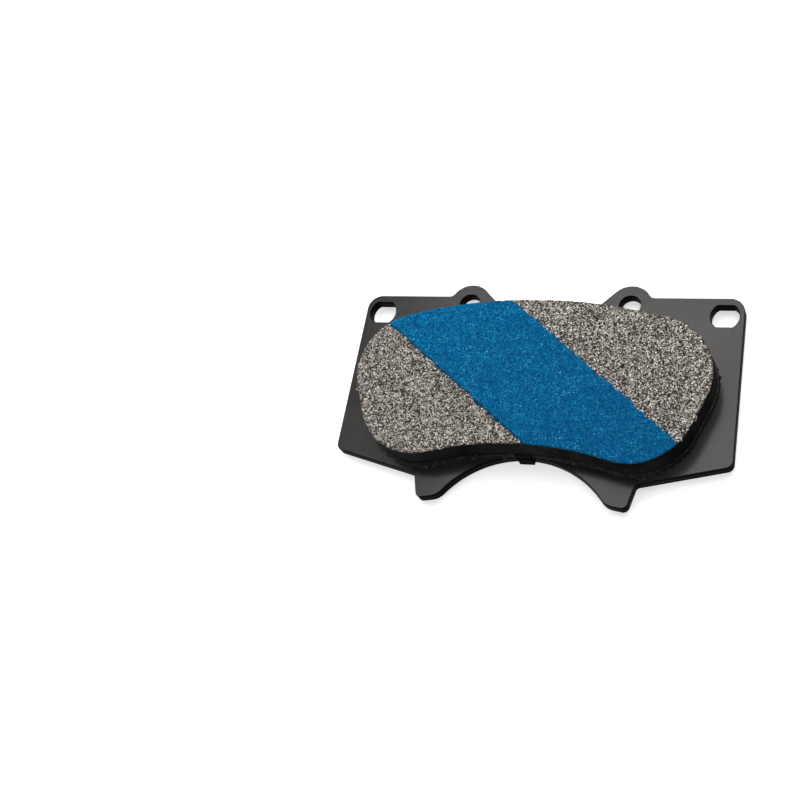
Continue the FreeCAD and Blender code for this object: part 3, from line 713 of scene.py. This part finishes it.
# A painted shadow along the lower edge, and painted shade towards one end.
EDGE_SHADOW_BLUE, SHADED_END_BLUE = (0.0, 0.02, 0.07), (0.0, 0.035, 0.12)
WEAR_AND_HIGHLIGHT_FROM, WEAR_AND_HIGHLIGHT_TO = FACE_Z - 0.10 * MM, FACE_Z - 0.25 * MM
END_SHADE_FROM, END_SHADE_TO = -45 * MM, 50 * MM


def glints_of(tree, place):
    """Painted glints: pale specks and wire-like streaks on the coat, in loose patches."""
    specks = band(tree, clouds(tree, place, 0.42 * MM, detail=1.0, roughness=0.6), 0.63, 0.71)
    glints = combine(tree, "MAXIMUM", specks, fibres(tree, place, 1.1 * MM, WIRE_WIDTH))
    patches = band(tree, clouds(tree, place, 3 * MM, detail=2.0), 0.25, 0.6)
    return times(tree, glints, patches)


def stripe_finish():
    material, tree, shader = start_material("blue_coating", 0.6, gloss=0.02)
    place = position(tree)
    grain, _ = chips(tree, place, 0.5 * MM)
    fine = clouds(tree, place, 0.4 * MM, detail=3.0, roughness=0.7)
    level = plus(tree, times(tree, grain, 0.4), times(tree, fine, 0.6))
    colour = ramp(tree, level, BLUE_STOPS)
    # Painted glints in pale blue, in loose patches.
    colour = blend(tree, glints_of(tree, place), colour, GLINT_BLUE)
    # Painted glints: fine pale specks all over the coat.
    fine_glints = band(tree, clouds(tree, place, 0.75 * MM, detail=0.0), 0.80, 0.86)
    colour = blend(tree, fine_glints, colour, FINE_GLINT_BLUE)
    # Pale flecks low down, partly worn coat and partly a painted highlight on the rounded rim.
    worn = band(tree, height_of(tree, place), WEAR_AND_HIGHLIGHT_FROM, WEAR_AND_HIGHLIGHT_TO)
    flecks = band(tree, clouds(tree, place, 0.5 * MM, detail=1.0), 0.58, 0.64)
    colour = blend(tree, times(tree, worn, flecks), colour, WORN_AND_HIGHLIT_BLUE)
    # Painted shadow: a dark strip along the stripe's lower edge.
    lip = STRIPE_MIDDLE.dot(across_lower_edge) - STRIPE_HALF
    reach = distance_along(tree, place, across_lower_edge)
    edge_shadow = band(tree, reach, lip + 0.8 * MM, lip + 0.3 * MM)
    colour = blend(tree, times(tree, edge_shadow, 0.7), colour, EDGE_SHADOW_BLUE)
    # Painted shade: the coat grows darker towards one end.
    end_shade = band(tree, distance_along(tree, place, along_stripe), END_SHADE_FROM, END_SHADE_TO)
    colour = blend(tree, times(tree, end_shade, 0.26), colour, SHADED_END_BLUE)
    rough = band(tree, level, -0.3, 1.6)
    relief = bump(tree, level, 0.05 * MM)
    feed(tree, shader, {"Base Color": colour, "Roughness": rough, "Normal": relief})
    return material


stripe = finish_piece(film, "sprayed_stripe", stripe_finish(), smooth=True)
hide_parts("stripe_coating")

# %% [markdown]
# The plate, the shim and its hook are painted steel. Powder coat has a fine orange-peel
# relief, faint clouds in its gloss, a few dust specks and slightly paler rubbed edges. The
# walls of the plate carry painted shade, with a ragged paler band half-way up that is a
# painted reflection of the pale table, and upright drag marks through the paint. The shim's
# lacquer is darker and duller, and painted shade makes its walls black.

# %% Painted shade and reflection on the walls
# Middle of the band of painted reflection on the walls.
REFLECTION_BAND_Z = plate_low.z + 0.5 * (plate_high.z - plate_low.z)
DRAG_STRETCH = (1.0, 1.0, 0.08)
# Colour of the painted shade on the walls.
WALL_SHADE_GREY = grey(0.003)


def drag_marks(tree, place):
    """Streaks that run up the wall."""
    inputs = {0: place, 1: DRAG_STRETCH}
    stretch = add_node(tree, "ShaderNodeVectorMath", inputs, operation="MULTIPLY")
    return clouds(tree, stretch.outputs[0], 0.35 * MM, detail=2.0)


def steepness(tree):
    """0 on level faces and 1 on walls."""
    facing = add_node(tree, "ShaderNodeTexCoord").outputs["Normal"]
    return band(tree, unsigned(tree, height_of(tree, facing)), 0.95, 0.75)


def wall_shade_and_reflection(tree, place, reflection_grey):
    """Painted shade on the wall, with a ragged paler band half-way up as a painted reflection."""
    height = height_of(tree, place)
    off_middle = unsigned(tree, minus(tree, height, REFLECTION_BAND_Z))
    ragged = times(tree, clouds(tree, place, 2 * MM, detail=3.0), 0.9 * MM)
    # Painted reflection of the pale table, in a ragged band half-way up the wall.
    painted_reflection = band(tree, plus(tree, off_middle, ragged), 1.4 * MM, 0.5 * MM)
    return blend(tree, painted_reflection, WALL_SHADE_GREY, grey(reflection_grey))


print(f"middle of the sheared band at {REFLECTION_BAND_Z / MM:.2f} mm")

# %% Painted steel
HAZE_LENGTH, SCUFF_LENGTH, SPECK_LENGTH = 14 * MM, 0.5 * MM, 0.5 * MM
RUBBED_GREY, SPECK_GREY = grey(0.18), grey(0.09)
PEEL_DEPTH, DRAG_DEPTH, SPECK_DEPTH = 0.0013 * MM, 0.02 * MM, 0.006 * MM


def shade(colour, factor):
    return tuple(factor * part for part in colour)


def paint_finish(name, colour, roughness, peel, worn, reflection_grey):
    """Paint on steel: peel is the length of its orange peel, worn says how pale the rubbed edges
    get, and the last number is the grey of the painted reflection on the walls.
    """
    material, tree, shader = start_material(name, roughness)
    place = position(tree)
    haze = clouds(tree, place, HAZE_LENGTH, detail=3.0)
    scuffs = clouds(tree, place, SCUFF_LENGTH, detail=3.0)
    specks = band(tree, clouds(tree, place, SPECK_LENGTH, detail=1.0), 0.74, 0.80)
    tone = ramp(tree, haze, ((0.3, shade(colour, 0.94)), (0.7, shade(colour, 1.06))))
    corners = add_node(tree, "ShaderNodeNewGeometry").outputs["Pointiness"]
    rubbed = band(tree, corners, 0.52, 0.60)
    rubbed = times(tree, rubbed, band(tree, scuffs, 0.1, 0.9))
    tone = blend(tree, times(tree, rubbed, worn), tone, RUBBED_GREY)
    tone = blend(tree, times(tree, specks, 0.5), tone, SPECK_GREY)
    drag = drag_marks(tree, place)
    wall = steepness(tree)
    # Painted shade and painted reflection on the walls.
    painted_wall_light = wall_shade_and_reflection(tree, place, reflection_grey)
    tone = blend(tree, times(tree, wall, 0.95), tone, painted_wall_light)
    gloss = minus(tree, 0.29, times(tree, wall, 0.25))
    rough = plus(tree, times(tree, haze, 0.12), roughness - 0.06)
    rough = minus(tree, rough, times(tree, wall, 0.06))
    relief = bump(tree, clouds(tree, place, peel, detail=0.0), PEEL_DEPTH)
    relief = bump(tree, times(tree, drag, wall), DRAG_DEPTH, relief)
    relief = bump(tree, specks, SPECK_DEPTH, relief)
    feed(tree, shader, {
        "Base Color": tone,
        "Specular IOR Level": gloss,
        "Roughness": rough,
        "Normal": relief,
    })
    return material


def clothe(node, material):
    """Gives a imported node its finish."""
    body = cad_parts[node]
    body.data.materials.clear()
    body.data.materials.append(material)
    print(node, "wears", material.name)


POWDER_GREY, LACQUER_BLACK = (0.0275, 0.0272, 0.0265), (0.006, 0.006, 0.0065)
powder_coat = paint_finish("powder_coat", POWDER_GREY, 0.19, 1.3 * MM, 0.35, 0.045)
clothe("backing_plate", powder_coat)
shim_lacquer = paint_finish("shim_lacquer", LACQUER_BLACK, 0.36, 2.0 * MM, 0.2, 0.004)
clothe("shim_steel", shim_lacquer)

# %% [markdown]
# The other layers show only as thin edges. The shim's steel is coated with rubber and held by
# a thin layer of amber glue, the bonding film is a dark brown adhesive, and the underlayer is a
# black moulded mix with pale grains. All four share one recipe: two colours in clouds, an uneven
# gloss and a soft relief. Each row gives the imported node, its finish, its two colours, its
# roughness, the length of its clouds and the depth of its relief. The underlayer's row ends with
# how strongly its grains show.

# %% Rubber, glue and underlayer
GRAIN_GREY = grey(0.22)


def plain_finish(name, dark, light, roughness, length, depth, speckled=0.0):
    material, tree, shader = start_material(name, roughness, gloss=0.3)
    place = position(tree)
    coarse = clouds(tree, place, length, detail=4.0, roughness=0.6)
    fine = clouds(tree, place, 0.2 * length, detail=2.0)
    tone = ramp(tree, coarse, ((0.3, dark), (0.7, light)))
    grains = band(tree, clouds(tree, place, 0.5 * MM, detail=1.0), 0.58, 0.68)
    tone = blend(tree, times(tree, grains, speckled), tone, GRAIN_GREY)
    rough = plus(tree, times(tree, fine, 0.2), roughness - 0.1)
    relief = bump(tree, fine, 0.4 * depth, bump(tree, coarse, depth))
    feed(tree, shader, {"Base Color": tone, "Roughness": rough, "Normal": relief})
    return material


GLUE_DARK, GLUE_PALE = (0.05, 0.04, 0.02), (0.09, 0.07, 0.04)
FILM_DARK, FILM_PALE = (0.03, 0.018, 0.01), (0.06, 0.04, 0.02)
LAYERS = (
    ("shim_coat", "shim_rubber", grey(0.012), grey(0.024), 0.62, 1.2 * MM, 0.05 * MM),
    ("shim_glue", "shim_glue", GLUE_DARK, GLUE_PALE, 0.4, 2 * MM, 0.03 * MM),
    ("bonding_film", "bonding_film", FILM_DARK, FILM_PALE, 0.5, 2 * MM, 0.03 * MM),
    ("underlayer", "underlayer_mix", grey(0.005), grey(0.016), 0.6, 1.0 * MM, 0.12 * MM, 0.3),
)
for node, slot, *recipe in LAYERS:
    clothe(node, plain_finish(slot, *recipe))

# %% [markdown]
# The moulding press squeezes a little of the underlayer out between the mould and the plate.
# It stays there as a thin ragged flash round the lining's foot. It starts as a ring of edges
# along the underlayer's outline. The ring is extruded again and again, each time out to the
# next line of a short profile, and the last ring is bridged to the first. Noise makes the
# profile swell and shrink on its way round. By the shim's hook it stays close to the foot.

# %% Outline of the underlayer
FLASH_STEP = 0.3 * MM
SAME_HEIGHT = 0.01 * MM


def outline_of(node, height):
    """The corner points of the node's upper face, in order round it."""
    def is_level(height_there):
        return abs(height_there - height) < SAME_HEIGHT

    shape = copy_node(node)
    upward = [face for face in shape.faces if face.normal.z > 0.9]
    flat = {face for face in upward if is_level(face.calc_center_median().z)}
    rim = [edge for edge in shape.edges if sum(face in flat for face in edge.link_faces) == 1]
    rim = [edge for edge in rim if all(is_level(point.co.z) for point in edge.verts)]
    loop = [rim[0].verts[0]]
    edge = rim[0]
    while True:
        corner = edge.other_vert(loop[-1])
        if corner == loop[0]:
            break
        loop.append(corner)
        edge = next(e for e in corner.link_edges if e in rim and e is not edge)
    points = [point.co.to_2d() for point in loop]
    shape.free()
    return points


def divided(points, step):
    """Evenly spaced points round a closed outline, each with its outward direction."""
    turn = sum(a.x * b.y - a.y * b.x for a, b in zip(points, points[1:] + points[:1]))
    if turn < 0:
        points = points[::-1]
    stations = []
    for start, end in zip(points, points[1:] + points[:1]):
        side = end - start
        count = max(1, round(side.length / step))
        outward = Vector((side.y, -side.x)).normalized()
        stations += [(start + side * (i + 0.5) / count, outward) for i in range(count)]
    return stations


stations = divided(outline_of("underlayer", layer_high.z), FLASH_STEP)
print("stations round the foot:", len(stations))

# %% Profile of the flash
FLASH_ROOT = 0.5 * MM
FLASH_LIMIT = 0.9 * MM
HOOK_LIMIT = 0.1 * MM
HOOK_HALF = 6 * MM


def flash_reach(spot):
    """How far the flash runs out at one place."""
    place = Vector((spot.x, spot.y, 0))
    patch = max(0.0, field(place, 9 * MM) + 0.25)
    crumb = max(0.0, field(place, 1.1 * MM, (5, 2, 1)) + 0.15)
    fray = abs(field(place, 0.5 * MM))
    reach = (0.10 + 2.2 * patch * crumb + 0.3 * fray) * MM
    by_hook = abs(spot.x) < HOOK_HALF and spot.y < 0
    return min(reach, HOOK_LIMIT if by_hook else FLASH_LIMIT)


def flash_profile(spot, outward):
    """Points up the flash's skin at one place, from its root round to its root."""
    base, top = PLATE_Z, layer_high.z
    reach = flash_reach(spot)
    place = Vector((spot.x, spot.y, 0)) / MM
    swell = (0.10 + 0.10 * noise.noise(place / 2.5)) * MM
    rough = [0.07 * MM * noise.noise(place * 1.3 + Vector((0, 0, k))) for k in range(4)]
    profile = (
        (-FLASH_ROOT, base),
        (reach, base),
        (reach, base + 0.08 * MM),
        (swell + rough[0], base + 0.22 * MM),
        (swell * 0.8 + rough[1], base + 0.7 * MM),
        (swell * 0.5 + rough[2], base + 1.3 * MM),
        (0.03 * MM + rough[3], top - 0.15 * MM),
        (-0.10 * MM, top + 0.02 * MM),
        (-FLASH_ROOT, top + 0.02 * MM),
    )
    return [(*(spot + outward * out), height) for out, height in profile]


widest = max(flash_reach(spot) for spot, _ in stations)
print(f"flash reaches {widest / MM:.2f} mm at most")

# %% Flash round the lining's foot
def make_flash():
    """A closed tube: each point remembers its station while the ring is extruded."""
    profiles = [flash_profile(spot, outward) for spot, outward in stations]
    shape = bmesh.new()
    number = shape.verts.layers.int.new("station")
    ring = [shape.verts.new(profile[0]) for profile in profiles]
    for index, point in enumerate(ring):
        point[number] = index
    first = [shape.edges.new((b, a)) for a, b in zip(ring, ring[1:] + ring[:1])]
    edges = first
    for level in range(1, len(profiles[0])):
        skirt = bmesh.ops.extrude_edge_only(shape, edges=edges)["geom"]
        edges = of_kind(skirt, bmesh.types.BMEdge)
        for point in of_kind(skirt, bmesh.types.BMVert):
            point.co = profiles[point[number]][level]
    bmesh.ops.bridge_loops(shape, edges=first + edges)
    bmesh.ops.recalc_face_normals(shape, faces=shape.faces)
    shape.verts.layers.int.remove(number)
    return shape


FLASH_DARK, FLASH_PALE = grey(0.004), grey(0.03)
flash_finish = plain_finish("moulding_flash", FLASH_DARK, FLASH_PALE, 0.5, 0.6 * MM, 0.10 * MM, 0.7)
finish_piece(make_flash(), "moulding_flash", flash_finish, smooth=True)

# %% [markdown]
# Short steel fibres lie in the ground face, bent every way and half sunk. Each is a thin
# three-sided wire along an arc, shiny where the grinding wheel cut it. It is one small triangle
# spun round the centre of its arc, with both ends drawn thinner. A few were torn out, so that
# they reach over the rim. The count is of places tried: most fibres that would run under the
# coat or off the rim are left out. Their lengths and radii are drawn in millimetres.

# %% Where a fibre can lie
TORN_SHARE = 0.15
STRIPE_MARGIN = 0.4 * MM
WORN_RIM = 0.35 * MM


def on_bare_face(spot):
    """True on the ground face outside the stripe and off its worn rim."""
    above = Vector((spot.x, spot.y, FACE_Z + MM))
    hit = block_tree.ray_cast(above, Vector((0, 0, -1)))[0]
    if hit is None or hit.z <= FACE_Z - WORN_RIM:
        return False
    return past_stripe(spot) > STRIPE_MARGIN


print("the middle of the face is bare:", on_bare_face(Vector((0, 0, 0))))

# %% One bent wire
FIBRE_SEGMENTS = 4
FIBRE_TIP = 0.5


def bent_wire(start, heading, bend, length, radius):
    """A closed wire along an arc, as its own small bmesh."""
    way = Vector((math.cos(heading), math.sin(heading), 0))
    side = Vector((-way.y, way.x, 0))
    turn = bend / FIBRE_SEGMENTS
    centre = start + (way + side / math.tan(turn / 2)) * (length / FIBRE_SEGMENTS / 2)
    end = centre + Matrix.Rotation(bend, 3, "Z") @ (start - centre)
    wire = bmesh.new()
    corners = (side, Vector((0, 0, 1)), -side)
    cap = wire.faces.new([wire.verts.new(start + corner * radius) for corner in corners])
    near = list(cap.verts)
    arc = {"cent": centre, "axis": (0, 0, 1), "angle": bend, "steps": FIBRE_SEGMENTS}
    spun = bmesh.ops.spin(wire, geom=near + list(cap.edges) + [cap], **arc)
    far = of_kind(spun["geom_last"], bmesh.types.BMVert)
    for points, middle in ((near, start), (far, end)):
        tip = {"vec": Vector((1, 1, 1)) * FIBRE_TIP, "space": Matrix.Translation(-middle)}
        bmesh.ops.scale(wire, verts=points, **tip)
    bmesh.ops.recalc_face_normals(wire, faces=wire.faces)
    return wire


sample = bent_wire(Vector((0, 0, 0)), heading=0, bend=1, length=2 * MM, radius=0.1 * MM)
print("faces on one wire:", len(sample.faces))
sample.free()

# %% Steel fibres
FIBRE_COUNT = 1900
FIBRE_SINK = 0.02 * MM
HALF_FIELD = Vector((59, 28))
LARGEST_BEND = 2.6
SHORTEST, LONGER_BY = 0.5, 2.3
RADII = (0.05, 0.11)
CHECKED_AT = 0.9
FIBRE_STOPS = ((0.35, (0.34, 0.32, 0.28)), (0.58, (1.0, 0.98, 0.93)))


def draw_fibre(spot, random):
    """One fibre with drawn heading, bend and size, or None where it can't lie."""
    heading = random.uniform(0, 2 * math.pi)
    bend = random.uniform(-LARGEST_BEND, LARGEST_BEND)
    length = (SHORTEST + LONGER_BY * random.random() ** 2) * MM
    radius = random.uniform(*RADII) * MM
    chord = Vector((math.cos(heading + bend / 2), math.sin(heading + bend / 2), 0)) * length
    end = spot + CHECKED_AT * chord
    torn_out = random.random() < TORN_SHARE and past_stripe(end) > STRIPE_MARGIN
    if not (on_bare_face(end) or torn_out):
        return None
    start = Vector((spot.x, spot.y, FACE_Z - FIBRE_SINK))
    return bent_wire(start, heading, bend, length, radius)


def make_fibres():
    """Each wire is made on its own and then added, because operators slow down in a big mesh."""
    random = Random(7)
    shape = bmesh.new()
    carrier = bpy.data.meshes.new("one fibre")
    tried = 0
    while tried < FIBRE_COUNT:
        across = random.uniform(-HALF_FIELD.x, HALF_FIELD.x)
        spot = Vector((across, random.uniform(-HALF_FIELD.y, HALF_FIELD.y), 0)) * MM
        if not on_bare_face(spot):
            continue
        tried += 1
        wire = draw_fibre(spot, random)
        if wire:
            wire.to_mesh(carrier)
            wire.free()
            shape.from_mesh(carrier)
    bpy.data.meshes.remove(carrier)
    return shape


def fibre_finish():
    material, tree, shader = start_material("fibre_steel", 0.45)
    tone = clouds(tree, position(tree), 1.5 * MM, detail=2.0)
    colour = ramp(tree, tone, FIBRE_STOPS)
    feed(tree, shader, {"Base Color": colour})
    shader.inputs["Metallic"].default_value = 0.1
    return material


finish_piece(make_fibres(), "steel_fibres", fibre_finish(), smooth=False)

# %% [markdown]
# Last, a closing line is printed.

# %% End
print("end of the script")
